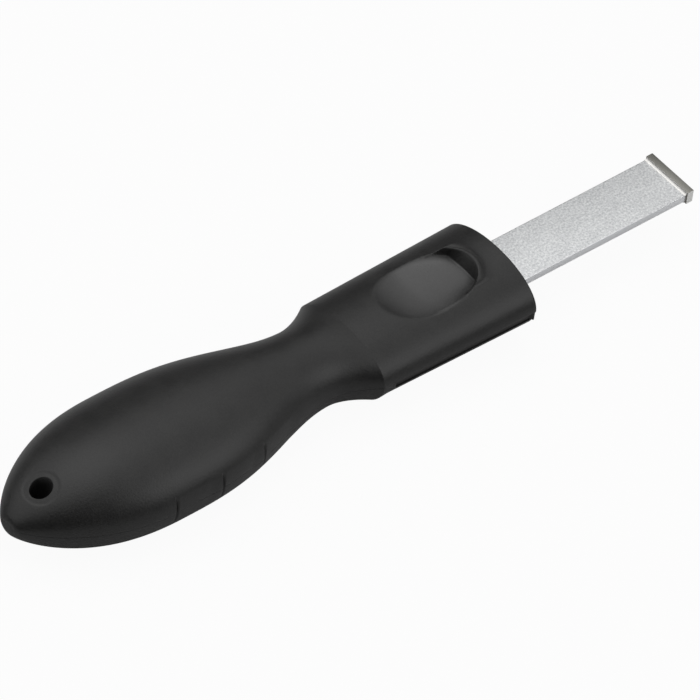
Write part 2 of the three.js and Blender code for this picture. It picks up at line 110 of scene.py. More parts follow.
def ease(low, high, value):
    """From 0 at low to 1 at high, along 3 t^2 - 2 t^3."""
    t = ((value - low) / (high - low)).clip(0, 1)
    return t * t * (3 - 2 * t)


def groove_depth(x, z):
    """Depth of the grip grooves: at each place a notch with a steep rear and a straight slope in front, then
    a step that rises again before the next place as a smooth ramp. All fade up and down as a parabola."""
    height = (1 - ((z - GROOVE_MIDDLE) / GROOVE_HALF_HEIGHT) ** 2).clip(0, 1)
    count = np.floor((x - GROOVE_FIRST + GROOVE_DROP) / GROOVE_PITCH).clip(0, GROOVE_COUNT - 1)
    past = x - GROOVE_FIRST - GROOVE_PITCH * count
    notch = np.minimum(1 + past / GROOVE_DROP, 1 - past / GROOVE_RUN).clip(0, 1)
    rise = ease(GROOVE_PITCH - GROOVE_STEP_RISE, GROOVE_PITCH - GROOVE_DROP, past)
    step = (1 + past / GROOVE_DROP).clip(0, 1) * (1 - rise)
    return height * (GROOVE_CUT_DEPTH * notch + GROOVE_STEP_DEPTH * step)


def soft_min(a, b, reach):
    """The lower of two heights, blended by a parabola where they are within reach of each other."""
    t = (0.5 + 0.5 * (b - a) / reach).clip(0, 1)
    return b + (a - b) * t - reach * t * (1 - t)


def thumb_rest(x, y, crown, middle):
    """Height of the head with the thumb rest. The scoop is a bowl below the crown's middle line, parabolic
    both ways, whose front corners rise as x^3 y^4. A wall climbs from a foot on a parabola to a crest along
    an arc, as 1 less a power of the share left to climb, and the lip falls beyond the crest as a bell curve.
    """
    ahead = x - SCOOP_X
    corner = SCOOP_CORNER * ahead.clip(0) ** 3 * y ** 4
    bowl = np.where(ahead < 0, SCOOP_REAR, SCOOP_FRONT) * ahead ** 2 + SCOOP_ACROSS * y ** 2 + corner
    scoop = soft_min(crown, middle - SCOOP_DEPTH + bowl, SCOOP_EASE)
    arc = LIP_X + np.sqrt((LIP_RADIUS ** 2 - y ** 2).clip(0))
    foot = np.minimum(LIP_FOOT - LIP_FOOT_BEND * y ** 2, arc - LIP_LEAST_WALL)
    climb = 1 - ((arc - x) / (arc - foot)).clip(0, 1) ** LIP_STEEPNESS
    beyond = (np.hypot(x - LIP_X, y) - LIP_RADIUS - LIP_CREST).clip(0)
    bell = np.exp(-(beyond / LIP_FALL) ** LIP_FALL_POWER)
    lip = crown + LIP_HEIGHT * (1 - ease(*LIP_ENDS, np.abs(y))) * bell
    return scoop + (lip - scoop) * climb


def hang_relief(x, y, z):
    """Height of the crown with a shallow ring sunk round the hang hole, and the hole's edge eased."""
    heights = along_handle(CROWN, HANG_X + HANG_RADIUS * np.array([-1, 1]))
    slope = (heights[1] - heights[0]) / (2 * HANG_RADIUS)
    from_hole = np.hypot((x - HANG_X) * np.hypot(1, slope), y)
    ring = HANG_RING_SINK * (1 - ease(HANG_RING_RADIUS, HANG_RING_RADIUS + HANG_RING_EDGE, from_hole))
    edge = (1 - (np.hypot(x - HANG_X, y) - HANG_RADIUS) / HANG_EDGE).clip(0, 1)
    return z - ring - HANG_EDGE * edge ** 2


def even(start, end, step):
    """Evenly spaced places from start to end, both included."""
    return np.linspace(start, end, 1 + max(1, round((end - start) / step)))


def across_hole(place, radius, count):
    """Places across a round hole, closer at its two ends, where its edge turns across the handle."""
    return place - radius * np.cos(np.linspace(0, np.pi, count))


def past_grooves(start, end, step):
    """Places past the grip grooves, crowded at each groove by a sine of the groove pitch."""
    plain = even(start, end, step)
    return plain - GROOVE_CROWDING * np.sin(2 * np.pi * (plain - GROOVE_FIRST) / GROOVE_PITCH)


def quarter(count):
    """Shares of a quarter circle's radius, from its level start to its upright end."""
    return np.sin(np.linspace(0, np.pi / 2, count))


HANG = ("through", HANG_X, HANG_RADIUS)
GRIPPED = past_grooves(GROOVE_FIRST - GROOVE_PITCH / 4, GROOVE_FIRST + 2.25 * GROOVE_PITCH, 0.3)
CREASE = HEAD_START + np.array([-0.15, -0.05, 0, 0.05, 0.15])
UPPER_RUNS = (
    (END_ROUND * (1 - quarter(TAIL_STEPS)[::-1]), "solid", None),
    (even(END_ROUND, HANG_X - HANG_RADIUS, 0.2)[1:], "solid", None),
    (across_hole(HANG_X, HANG_RADIUS, HANG_STEPS), "solid", HANG),
    (even(HANG_X + HANG_RADIUS, HANG_FINE_END, 0.13), "solid", None),
    (even(HANG_FINE_END, HOLLOW_START, 0.5)[1:], "solid", None),
    (even(HOLLOW_START, GRIPPED[0], 0.8), "hollow", None),
    (GRIPPED[1:], "hollow", None),
    (even(GRIPPED[-1], HOLLOW_END, 0.7)[1:], "hollow", None),
    (even(HOLLOW_END, SLOT_START, 0.4), "solid", None),
    (even(SLOT_START, CREASE[0] - 0.15, 0.3), "slot", None),
    (CREASE, "slot", None),
    (even(CREASE[-1] + 0.25, SCOOP_FINE_START, 0.5), "slot", None),
    (even(SCOOP_FINE_START, LIP_FINE_START, 0.22)[1:], "slot", None),
    (even(LIP_FINE_START, LIP_FINE_END, 0.11)[1:], "slot", None),
    (even(LIP_FINE_END, HANDLE_LENGTH - END_ROUND, 0.4)[1:], "slot", None),
    (HANDLE_LENGTH - END_ROUND * (1 - quarter(FRONT_STEPS)[1:]), "slot", None),
)


def stations(runs):
    """Columns of the places in runs, of the zone inside the shell at each, and of the hole that each crosses,
    with half the hole's width there."""
    x = np.concatenate([places for places, _, _ in runs])[:, None]
    zone = np.concatenate([[zone] * len(places) for places, zone, _ in runs])[:, None]
    holes = [hole or ("", 0, 0) for places, _, hole in runs for _ in places]
    kind, centre, radius = (np.array(column)[:, None] for column in zip(*holes))
    opening = np.sqrt((radius ** 2 - (x - centre) ** 2).clip(0)) * (radius > 0)
    return x, zone, kind, opening


def side_turns():
    """Angles from the crest of a section to its side: part of an even share and part of its cube, so that
    they are closer together at the crest."""
    share = np.linspace(0, 1, SIDE_COLUMNS + 1)[None, :]
    return 0.5 * np.pi * (SIDE_EVEN_SHARE * share + SIDE_CUBED_SHARE * share ** 3)


def rows(x, *columns):
    """Grid of points from pairs of y and z columns, side by side at each place x."""
    y = np.concatenate([np.broadcast_to(a, (len(x), np.shape(a)[1])) for a, _ in columns], axis=1)
    z = np.concatenate([np.broadcast_to(b, (len(x), np.shape(b)[1])) for _, b in columns], axis=1)
    return np.stack([np.broadcast_to(x, y.shape), y, z], axis=-1)


def ceiling(x, zone, opening, half_width, height):
    """Inside of a shell from its seam face to the middle: an arch in the hollow, a flat roof over the tang
    slot and level with the seam face where the shell is solid. Heights are from the seam plane."""
    share = np.concatenate([[1, 1], np.linspace(1, 0, CEILING_COLUMNS + 1)[1:]])[None, :]
    first = np.arange(share.shape[1])[None, :] == 0
    rim = np.where(zone == "slot", SLOT_HALF_WIDTH, SOLID_RIM_SHARE * half_width)
    rim = np.where(zone == "hollow", half_width - WALL, rim)
    arch = SEAM + (height - WALL - SEAM) * np.sqrt(1 - share ** 2)
    z = np.where(zone == "hollow", arch, np.where((zone == "slot") & ~first, SLOT_HALF_HEIGHT, SEAM))
    return opening + (rim - opening) * share, z


def upper_half():
    """Left half of the upper shell: a profile from the crest over the side to the seam and back inside to the
    middle, carried along the handle. The neck rises as t^2 (1 - t), scaled to peak at 1, so that it meets
    the head in a crease."""
    x, zone, hole, opening = stations(UPPER_RUNS)
    half_width = along_handle(HALF_WIDTH, x) - end_inset(x)
    t = ((x - NECK_RISE_START) / (HEAD_START - NECK_RISE_START)).clip(0, 1)
    height = along_handle(CROWN, x) + NECK_RISE * NECK_RISE_SCALE * t ** 2 * (1 - t) - end_inset(x)
    across = opening / half_width + (1 - opening / half_width) * np.sin(side_turns())
    z = SEAM + SEAM_ROUND + (height - SEAM - SEAM_ROUND) * np.sqrt((1 - across ** 2).clip(0))
    y = (half_width - groove_depth(x, z)) * across
    z = hang_relief(x, y, thumb_rest(x, y, z, height))
    bend = np.linspace(0, np.pi / 2, RIM_COLUMNS + 1)[None, 1:]
    rim = y[:, -1:] - SEAM_ROUND * (1 - np.cos(bend)), z[:, -1:] - SEAM_ROUND * np.sin(bend)
    lead = opening, np.where(hole == "through", SEAM, z[:, :1])
    return rows(x, lead, (y, z), rim, ceiling(x, zone, opening, half_width, height))


def both_sides(half):
    """The half profile grid and its mirror image, with a flat cap over each end."""
    other = half * (1, -1, 1)
    caps = [np.concatenate([half[end, 1:], other[end, -2:1:-1]]) for end in (0, -1)]
    return [half, other], caps


def add_piece(name, grids, caps, material, body, nodes, slot, sharp=SHARP):
    """Object from grids of points, whose cells are quads, and from caps, which are flat faces. Points that
    meet are welded, faces are turned outwards and edges bent by more than sharp stay crisp."""
    points = np.concatenate([part.reshape(-1, 3) for part in (*grids, *caps)])
    faces, start = [], 0
    for grid in grids:
        index = start + np.arange(grid.shape[0] * grid.shape[1]).reshape(grid.shape[:2])
        corners = index[:-1, :-1], index[1:, :-1], index[1:, 1:], index[:-1, 1:]
        faces += np.stack(corners, axis=-1).reshape(-1, 4).tolist()
        start += index.size
    for cap in caps:
        faces.append(list(range(start, start + len(cap))))
        start += len(cap)
    mesh = bpy.data.meshes.new(name)
    mesh.from_pydata((points * MM + np.array(ORIGIN)).tolist(), [], faces)
    work = bmesh.new()
    work.from_mesh(mesh)
    bmesh.ops.remove_doubles(work, verts=work.verts, dist=WELD_DISTANCE)
    bmesh.ops.recalc_face_normals(work, faces=work.faces)
    work.to_mesh(mesh)
    work.free()
    mesh.polygons.foreach_set("use_smooth", np.ones(len(mesh.polygons), bool))
    mesh.set_sharp_from_angle(angle=sharp)
    made = bpy.data.objects.new(name, mesh)
    bpy.context.scene.collection.objects.link(made)
    made.data.materials.append(material)
    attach(made, body)
    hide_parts(*nodes)


class Shade:
    """A value in a material: arithmetic on it adds Math nodes, and node() adds any other node."""

    def __init__(self, tree, socket=None):
        self.tree, self.socket = tree, socket

    def node(self, kind, settings, inputs, out=0):
        made = self.tree.nodes.new(kind)
        for key, value in settings.items():
            setattr(made, key, value)
        for key, value in inputs.items():
            if isinstance(value, Shade):
                self.tree.links.new(value.socket, made.inputs[key])
            else:
                made.inputs[key].default_value = value
        return Shade(self.tree, made.outputs[out] if made.outputs else None)

    def math(self, operation, a, b):
        return self.node("ShaderNodeMath", {"operation": operation}, {0: a, 1: b})

    def __add__(self, other):
        return self.math("ADD", self, other)

    def __sub__(self, other):
        return self.math("SUBTRACT", self, other)

    def __rsub__(self, other):
        return self.math("SUBTRACT", other, self)

    def __mul__(self, other):
        return self.math("MULTIPLY", self, other)

    __radd__ = __add__
    __rmul__ = __mul__

    def noise(self, scale, detail=2.0, roughness=0.55):
        sockets = {"Vector": self, "Scale": scale, "Detail": detail, "Roughness": roughness}
        return self.node("ShaderNodeTexNoise", {}, sockets)

    def between(self, low, high):
        sockets = {"Value": self, "From Min": low, "From Max": high}
        return self.node("ShaderNodeMapRange", {"clamp": True}, sockets)

    def blend(self, first, second):
        ends = [end if isinstance(end, Shade) else (*end, 1) for end in (first, second)]
        return self.node("ShaderNodeMix", {"data_type": "RGBA"}, {0: self, 6: ends[0], 7: ends[1]}, out=2)

    def bump(self, strength, distance):
        return self.node("ShaderNodeBump", {}, {"Height": self, "Strength": strength, "Distance": distance})


def new_material(name, finish):
    """Material of one Principled shader. finish takes the Object coordinates and gives the shader's values.
    """
    material = bpy.data.materials.new(name)
    material.use_nodes = True
    tree = material.node_tree
    shader = next(n for n in tree.nodes if n.type == "BSDF_PRINCIPLED")
    place = Shade(tree).node("ShaderNodeTexCoord", {}, {}, out=3)
    for key, value in finish(place).items():
        if isinstance(value, Shade):
            tree.links.new(value.socket, shader.inputs[key])
        else:
            shader.inputs[key].default_value = value
    return material


PLASTIC_DEEP = (0.0085, 0.0085, 0.0084)
PLASTIC_PALE = (0.021, 0.0208, 0.0202)
PLASTIC_PITS = 2300
PLASTIC_MOTTLE = 240
POLISH_X, POLISH_HALF_LENGTH, POLISH_HALF_WIDTH, POLISH_RAMP = 107.6, 11.0, 7.2, (97.0, 107.0)
POLISH_EDGE = (1.1, 0.8)


def moulded_plastic(place):
    """Black plastic from a spark-eroded mould: pits under half a millimetre across, and a faint mottle. The
    scoop is polished inside an oval, given by the sum of the squares of two shares of its half sizes."""
    pits = place.noise(PLASTIC_PITS, detail=3.0, roughness=0.6)
    mottle = place.noise(PLASTIC_MOTTLE, detail=4.0)
    tone = (0.6 * pits + 0.4 * mottle).between(0.3, 0.7)
    x, y, z = (place.node("ShaderNodeSeparateXYZ", {}, {"Vector": place}, out=axis) for axis in range(3))
    along = (x - ORIGIN.x - POLISH_X * MM) * (1 / (POLISH_HALF_LENGTH * MM))
    across = y * (1 / (POLISH_HALF_WIDTH * MM))
    above = z.between(ORIGIN.z, ORIGIN.z + SLOT_HALF_HEIGHT * MM)
    ramp = (x - ORIGIN.x).between(*(end * MM for end in POLISH_RAMP))
    polish = (along * along + across * across).between(*POLISH_EDGE) * above * ramp
    return {
        "Base Color": tone.blend(PLASTIC_DEEP, PLASTIC_PALE),
        "Roughness": 0.3 + 0.1 * mottle + 0.12 * pits - 0.1 * polish,
        "Specular IOR Level": 0.42,
        "Coat Weight": 0.9 * polish,
        "Coat Roughness": 0.25,
        "Normal": pits.bump(0.6, 0.00006),
    }


plastic = new_material("black_grained_plastic", moulded_plastic)
add_piece("upper_half", *both_sides(upper_half()), plastic, "handle", ["upper_shell"], "handle_plastic")

# Brass threads: two turned inserts pressed into the upper shell beside the tang, where only the head screws
# reach them. They are the frame's own solids in a turned brass finish.
BRASS_DARK = (0.42, 0.27, 0.08)
BRASS_LIGHT = (0.62, 0.44, 0.16)


def turned_brass(place):
    """Brass with fine tool rings up its height and a slight tarnish."""
    wave = {"Vector": place, "Scale": 900.0, "Distortion": 1.0}
    rings = place.node("ShaderNodeTexWave", {"bands_direction": "Z"}, wave)
    tarnish = place.noise(700, detail=3.0)
    return {
        "Base Color": tarnish.blend(BRASS_DARK, BRASS_LIGHT),
        "Metallic": 1.0,
        "Roughness": 0.25 + 0.2 * tarnish,
        "Normal": rings.bump(0.2, 0.00002),
    }


brass = new_material("turned_brass", turned_brass)
for node in ("head_insert_left", "head_insert_right"):
    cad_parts[node].data.materials.clear()
    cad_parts[node].data.materials.append(brass)

# Steel bar: a flat bar cut to length, tumbled and zinc plated, which leaves a sparkling grain on its faces
# and lightly broken edges. Its tang runs back through the head to a stop wall.
BAR_START, BAR_END = 84.0, 173.2
BAR_HALF_WIDTH, BAR_HALF_THICKNESS, BAR_EDGE = 6.15, 0.95, 0.28
BAR_CORNER_STEPS, BAR_END_STEPS = 7, 6
ZINC_DARK = (0.54, 0.55, 0.56)
ZINC_LIGHT = (0.88, 0.89, 0.89)
# Near white on the sides and broken edges of the bar: a painted highlight over smooth plate.
ZINC_SIDE_PAINTED_HIGHLIGHT = (0.93, 0.94, 0.96)
ZINC_GRAIN = 2100
ZINC_BROAD = (0.85, 0.97)


def round_box(half_width, half_height, radius, count):
    """Outline of a rectangle with quarter circles at its corners, as two rows of coordinates."""
    turn = np.linspace(0, np.pi / 2, count)
    turns = np.concatenate([turn + quarter_turn * np.pi / 2 for quarter_turn in range(4)])
    corner = np.repeat(np.array([[1, 1], [-1, 1], [-1, -1], [1, -1]]), count, axis=0).T
    return (corner[0] * (half_width - radius) + radius * np.cos(turns),
            corner[1] * (half_height - radius) + radius * np.sin(turns))


def round_bar(start, end, outline, radius, count, across=False):
    """A closed outline carried along x, or across along y, and drawn in by a quarter circle at each end."""
    ends = radius * (1 - quarter(count)[::-1])
    along = np.concatenate([start + ends, end - ends[::-1]])[:, None]
    reach = np.maximum(start + radius - along, along - end + radius).clip(0, radius)
    inset = radius - np.sqrt(radius ** 2 - reach ** 2)
    a, z = (edge[None, :] - inset * np.sign(edge) for edge in outline)
    along = np.broadcast_to(along, a.shape)
    grid = np.stack([a, along, z] if across else [along, a, z], axis=-1)
    return np.concatenate([grid, grid[:, :1]], axis=1)


def closed(grid):
    """A tube's grid with a flat cap over each end."""
    return [grid], [grid[0, :-1], grid[-1, :-1]]


def zinc_plate(place):
    """Bright zinc over a tumbled surface: specks over half a millimetre across, in patches, on the two broad
    faces. The sheared edges between them are smooth, and their near white colour is a painted highlight
    for the light that the sides and edges catch."""
    specks = place.noise(ZINC_GRAIN, detail=2.0, roughness=0.7)
    patches = place.noise(260, detail=3.0)
    height = place.node("ShaderNodeSeparateXYZ", {}, {"Vector": place}, out=2) - ORIGIN.z
    broad = (height * height).between(*((share * BAR_HALF_THICKNESS * MM) ** 2 for share in ZINC_BROAD))
    tone = (0.85 * specks + 0.15 * patches).between(0.35, 0.65)
    return {
        "Base Color": broad.blend(ZINC_SIDE_PAINTED_HIGHLIGHT, tone.blend(ZINC_DARK, ZINC_LIGHT)),
        "Metallic": 1.0,
        "Roughness": 0.4 + 0.16 * specks * broad,
        "Normal": (specks * broad).bump(0.4, 0.00006),
    }


zinc = new_material("zinc_plate", zinc_plate)
bar_outline = round_box(BAR_HALF_WIDTH, BAR_HALF_THICKNESS, BAR_EDGE, BAR_CORNER_STEPS)
steel_bar = round_bar(BAR_START, BAR_END, bar_outline, BAR_EDGE, BAR_END_STEPS)
add_piece("steel_bar", *closed(steel_bar), zinc, "blade", ["blade_shank"], "zinc_plated_steel")

# Braze: silver solder run between the bar's end and the carbide, with a bright concave fillet on the faces
# above and below. Its toe on the bar wanders a little, as solder does where it stopped flowing.
BRAZE_LAYER, BRAZE_FILLET, BRAZE_TOP = 0.2, 0.45, 1.48
BRAZE_WANDER = 0.06
BRAZE_WAVES = ((0.6, 1.9, 0.4), (0.4, 4.3, 2.0))
BRAZE_SEGMENTS = 8
BRAZE_STEPS = 90
SILVER_DARK = (0.6, 0.59, 0.57)
SILVER_LIGHT = (0.78, 0.77, 0.75)


def braze_bead():
    """A section of a layer and two concave quarter fillets up to the carbide, carried across the bar, its
    toes wandering by a sum of sines of the place across."""
    y = np.linspace(-BAR_HALF_WIDTH, BAR_HALF_WIDTH, BRAZE_STEPS)[:, None]
    wander = BRAZE_WANDER * sum(size * np.sin(pace * y + start) for size, pace, start in BRAZE_WAVES)
    bend = np.linspace(0, np.pi / 2, BRAZE_SEGMENTS)[None, :]
    still = np.ones_like(y)
    fillet_x = (wander - BRAZE_FILLET) * (1 - np.sin(bend)) + BRAZE_LAYER * np.sin(bend)
    fillet_z = (BAR_HALF_THICKNESS + (BRAZE_TOP - BAR_HALF_THICKNESS) * (1 - np.cos(bend))) * still
    inner_z = BAR_HALF_THICKNESS * np.concatenate([-still, still], axis=1)
    x = np.concatenate([fillet_x, fillet_x[:, ::-1], 0 * inner_z], axis=1)
    z = np.concatenate([fillet_z, -fillet_z[:, ::-1], inner_z], axis=1)
    grid = np.stack([BAR_END + x, np.broadcast_to(y, x.shape), z], axis=-1)
    return np.concatenate([grid, grid[:, :1]], axis=1)


def silver_braze(place):
    """Bright solder with soft ripples where it set."""
    ripples = place.noise(1500, detail=2.0)
    return {
        "Base Color": ripples.blend(SILVER_DARK, SILVER_LIGHT),
        "Metallic": 1.0,
        "Roughness": 0.3 + 0.2 * ripples,
        "Normal": ripples.bump(0.25, 0.00006),
    }


silver = new_material("silver_braze", silver_braze)
add_piece("braze_bead", *closed(braze_bead()), silver, "blade", ["braze_joint"], "silver_braze")

# Carbide bar: sintered tungsten carbide, ground on all faces to sharp edges, a little wider and taller than
# the steel bar that it is brazed across. The wheel leaves fine lines along it, and its two ends carry a
# near white colour, a painted highlight for the light they catch.
TIP_START, TIP_END = 173.4, 175.0
TIP_HALF_WIDTH, TIP_HALF_HEIGHT, TIP_EDGE, TIP_EDGE_STEPS = 6.35, 1.5, 0.015, 4
CARBIDE_DARK = (0.2, 0.196, 0.178)
CARBIDE_LIGHT = (0.3, 0.296, 0.272)
# Near white for the two ends of the carbide bar: a painted highlight.
CARBIDE_ENDS_PAINTED_HIGHLIGHT = (0.92, 0.92, 0.9)


def ground_carbide(place):
    """Grey carbide with wheel lines along Y, a fine sintered grain, and a painted highlight on its two ends.
    """
    stretched = place.node("ShaderNodeMapping", {}, {"Vector": place, "Scale": (1.0, 0.04, 1.0)})
    lines = stretched.noise(9000, detail=3.0)
    grain = place.noise(5000, detail=2.0)
    across = place.node("ShaderNodeSeparateXYZ", {}, {"Vector": place}, out=1)
    ends = (across * across).between(((TIP_HALF_WIDTH - TIP_EDGE) * MM) ** 2, (TIP_HALF_WIDTH * MM) ** 2)
    ground = (0.5 * lines + 0.5 * grain).blend(CARBIDE_DARK, CARBIDE_LIGHT)
    return {
        "Base Color": ends.blend(ground, CARBIDE_ENDS_PAINTED_HIGHLIGHT),
        "Metallic": 1.0,
        "Roughness": 0.34 + 0.2 * lines,
        "Normal": lines.bump(0.25, 0.00001),
    }


carbide = new_material("ground_carbide", ground_carbide)
tip_outline = round_box((TIP_END - TIP_START) / 2, TIP_HALF_HEIGHT, TIP_EDGE, TIP_EDGE_STEPS)
carbide_bar = round_bar(-TIP_HALF_WIDTH, TIP_HALF_WIDTH, tip_outline, TIP_EDGE, TIP_EDGE_STEPS, across=True)
carbide_bar += np.array([(TIP_START + TIP_END) / 2, 0, 0])
add_piece("carbide_bar", *closed(carbide_bar), carbide, "blade", ["carbide_tip"], "carbide")

# Lower shell: the bottom half of the handle, in the same plastic. At the head it stands in a little under the
# upper shell and has a rebate along each side that keeps the rims apart. It has the four screw recesses and
# the flat lands that the tool lies on.
BELLY = {"tail": 2.2, "bulb": 10.8, "neck": 6.8, "head_rear": 8.8, "head_front": 9.0,
         "neck_place": 0.885, "tail_fullness": 2.75}
JAW_INSET = 0.2
LAND_DEPTH, LAND_EASE = 8.6, 0.2
CLAMP_GAP, CLAMP_DEPTH, CLAMP_START, CLAMP_STEP = 2.2, 0.7, 90.2, 1.0
GRIP_SCREW_XS, GRIP_RECESS_RADIUS, GRIP_SEAT = (21.0, 64.0), 3.1, 4.2
HEAD_SCREW_X, HEAD_SCREW_Y, HEAD_RECESS_RADIUS, HEAD_SEAT = 111.914, 9.0, 2.55, 3.4
RECESS_STEPS, SPLIT_SHARE = 33, 0.71
GRIP_RECESSES = [("recess", x, GRIP_RECESS_RADIUS) for x in GRIP_SCREW_XS]
HEAD_RECESS = ("side", HEAD_SCREW_X, HEAD_RECESS_RADIUS)
LOWER_RUNS = (
    (END_ROUND * (1 - quarter(TAIL_STEPS)[::-1]), "solid", None),
    (even(END_ROUND, HANG_X - HANG_RADIUS, 0.3)[1:], "solid", None),
    (across_hole(HANG_X, HANG_RADIUS, RECESS_STEPS), "solid", HANG),
    (even(HANG_X + HANG_RADIUS, HOLLOW_START, 0.4), "solid", None),
    (even(HOLLOW_START, GRIP_SCREW_XS[0] - GRIP_RECESS_RADIUS, 0.5), "hollow", None),
    (across_hole(GRIP_SCREW_XS[0], GRIP_RECESS_RADIUS, RECESS_STEPS), "hollow", GRIP_RECESSES[0]),
    (even(GRIP_SCREW_XS[0] + GRIP_RECESS_RADIUS, GRIPPED[0], 0.6), "hollow", None),
    (GRIPPED[1:], "hollow", None),
    (even(GRIPPED[-1], GRIP_SCREW_XS[1] - GRIP_RECESS_RADIUS, 0.3)[1:], "hollow", None),
    (across_hole(GRIP_SCREW_XS[1], GRIP_RECESS_RADIUS, RECESS_STEPS), "hollow", GRIP_RECESSES[1]),
    (even(GRIP_SCREW_XS[1] + GRIP_RECESS_RADIUS, HOLLOW_END, 0.5), "hollow", None),
    (even(HOLLOW_END, SLOT_START, 0.4), "solid", None),
    (even(SLOT_START, CREASE[0] - 0.15, 0.3), "slot", None),
    (CREASE, "slot", None),
    (even(CREASE[-1] + 0.25, CLAMP_START + CLAMP_STEP, 0.2), "slot", None),
    (even(CLAMP_START + CLAMP_STEP, HEAD_SCREW_X - HEAD_RECESS_RADIUS, 0.5)[1:], "slot", None),
    (across_hole(HEAD_SCREW_X, HEAD_RECESS_RADIUS, RECESS_STEPS), "slot", HEAD_RECESS),
    (even(HEAD_SCREW_X + HEAD_RECESS_RADIUS, HANDLE_LENGTH - END_ROUND, 0.3), "slot", None),
    (HANDLE_LENGTH - END_ROUND * (1 - quarter(FRONT_STEPS)[1:]), "slot", None),
)


def beside(*columns):
    """Columns set side by side, one row to a place along the handle."""
    return np.concatenate(columns, axis=1)


def lower_half():
    """Left half of the lower shell: a profile from the belly over the side to the seam and back inside to the
    middle, carried along the handle, with the recesses opened between its columns."""
    x, zone, hole, opening = stations(LOWER_RUNS)
    half_width = along_handle(HALF_WIDTH, x) - JAW_INSET * ease(HEAD_START, CLAMP_START, x) - end_inset(x)
    depth = along_handle(BELLY, x) - end_inset(x)
    middle = np.where(hole == "side", 0, opening)
    side = np.where(hole == "side", opening, 0)
    split_y = HEAD_SCREW_Y * np.where(x > HEAD_START, 1, half_width / HALF_WIDTH["head_rear"])
    share = np.sin(side_turns())
    split = int(np.argmin(np.abs(share - SPLIT_SHARE)))
    inner = share[:, :split + 1] / share[:, split]
    outer = (share[:, split:] - share[:, split]) / (1 - share[:, split])
    gap = CLAMP_GAP * ease(CLAMP_START, CLAMP_START + CLAMP_STEP, x)
    base = SEAM + SEAM_ROUND
    reach = half_width * np.sqrt(1 - (gap / (depth - base)) ** 2)

    def outside(y):
        """Points of the outside at y: an ellipse cut flat where it reaches the land, less the grooves."""
        full = base + (depth - base) * np.sqrt(1 - (y / half_width).clip(0, 1) ** 2)
        z = -soft_min(full, np.full_like(full, LAND_DEPTH), LAND_EASE)
        return y * (1 - groove_depth(x, z) / half_width), z

    near = outside(middle + (split_y - side - middle) * inner)
    far = outside(split_y + side + (reach - split_y - side) * outer)
    seats = [np.where(hole == "side", -HEAD_SEAT, z) for z in (near[1][:, -1:], far[1][:, :1])]
    recess = beside(near[0][:, -1:], far[0][:, :1]), beside(*seats)
    bend = np.linspace(0, np.pi / 2, RIM_COLUMNS + 1)[None, 1:]
    rim = far[0][:, -1:] - SEAM_ROUND * (1 - np.cos(bend)), far[1][:, -1:] + SEAM_ROUND * np.sin(bend)
    bore = np.where(hole == "through", middle, 0)
    inside = ceiling(x, zone, bore, half_width, np.minimum(depth, LAND_DEPTH))
    sunk = CLAMP_DEPTH * (1 - ease(HANDLE_LENGTH - CLAMP_STEP, HANDLE_LENGTH - END_ROUND, x))
    ledge_y = np.where(x > HEAD_START, half_width - sunk, (inside[0][:, :1] + half_width) / 2)
    ledge = beside(ledge_y, ledge_y), beside(-SEAM - gap, -SEAM + 0 * gap)
    floor = np.where(hole == "through", -SEAM, np.where(hole == "recess", -GRIP_SEAT, near[1][:, :1]))
    lead = beside(np.where(hole == "recess", 0, middle), middle), beside(floor, floor)
    return rows(x, lead, near, recess, far, rim, ledge, (inside[0], -inside[1]))


add_piece("lower_half", *both_sides(lower_half()), plastic, "handle", ["lower_shell"], "handle_plastic")

# Screws: plated pan-head screws with a cross recess, driven from below into their recesses. Two short ones
# draw the split head shut on the tang, and two longer ones hold the bulb and the waist together.
SCREW_STEPS = 96
SCREW_RINGS = 40
CROSS_DEPTH, CROSS_WIDTH, CROSS_SPAN, CROSS_SIDE_SLOPE, CROSS_END_SLOPE = 0.9, 0.7, 0.62, 3, 1.5
DOME_RIM_SHARE, DOME_POWER, POINT_SHARE = 0.45, 0.5, 0.5
SCREW_SHARP = np.radians(35)
STEEL_DARK = (0.2, 0.205, 0.21)
STEEL_LIGHT = (0.42, 0.43, 0.44)
HEAD_SCREW = {"thread": 1.25, "head": 2.25, "head_height": 1.5, "seat": HEAD_SEAT, "length": 5.9}
GRIP_SCREW = {"thread": 1.5, "head": 2.8, "head_height": 2.0, "seat": GRIP_SEAT, "length": 9.0}
SCREWS = (
    ("head_screw_left", HEAD_SCREW, HEAD_SCREW_X, HEAD_SCREW_Y),
    ("head_screw_right", HEAD_SCREW, HEAD_SCREW_X, -HEAD_SCREW_Y),
    ("grip_screw_rear", GRIP_SCREW, GRIP_SCREW_XS[0], 0.0),
    ("grip_screw_front", GRIP_SCREW, GRIP_SCREW_XS[1], 0.0),
)


def pan_screw(thread, head, head_height, seat, length):
    """A turned profile: a domed head with a cross sunk in it, then a shank that tapers at its end. The cross
    is the deeper of two bars, each with sloped walls."""
    turn = np.linspace(0, 2 * np.pi, SCREW_STEPS + 1)[None, :]
    share = np.linspace(0, 1, SCREW_RINGS)[:, None]
    radius = head * np.sin(share * np.pi / 2)
    u, v = np.abs(radius * np.cos(turn)), np.abs(radius * np.sin(turn))
    rise = np.cos(share * np.pi / 2) ** DOME_POWER
    dome = -head_height * (DOME_RIM_SHARE + (1 - DOME_RIM_SHARE) * rise)

    def bar(a, b):
        """Depth of one arm of the cross, which grows inwards from its sides and ends to the full depth."""
        side, end = (CROSS_WIDTH / 2 - a) * CROSS_SIDE_SLOPE, (head * CROSS_SPAN - b) * CROSS_END_SLOPE
        return np.minimum(side, end).clip(0, CROSS_DEPTH)

    face_z = dome + np.maximum(bar(u, v), bar(v, u))
    face = np.stack([radius * np.cos(turn), radius * np.sin(turn), face_z], axis=-1)
    r = np.array([head, thread, thread, thread * POINT_SHARE, 0])[:, None]
    z = np.array([0, 0, length - thread, length, length])[:, None] * np.ones_like(turn)
    shank = np.stack([r * np.cos(turn), r * np.sin(turn), z], axis=-1)
    return np.concatenate([face, shank]) - np.array([0, 0, seat])


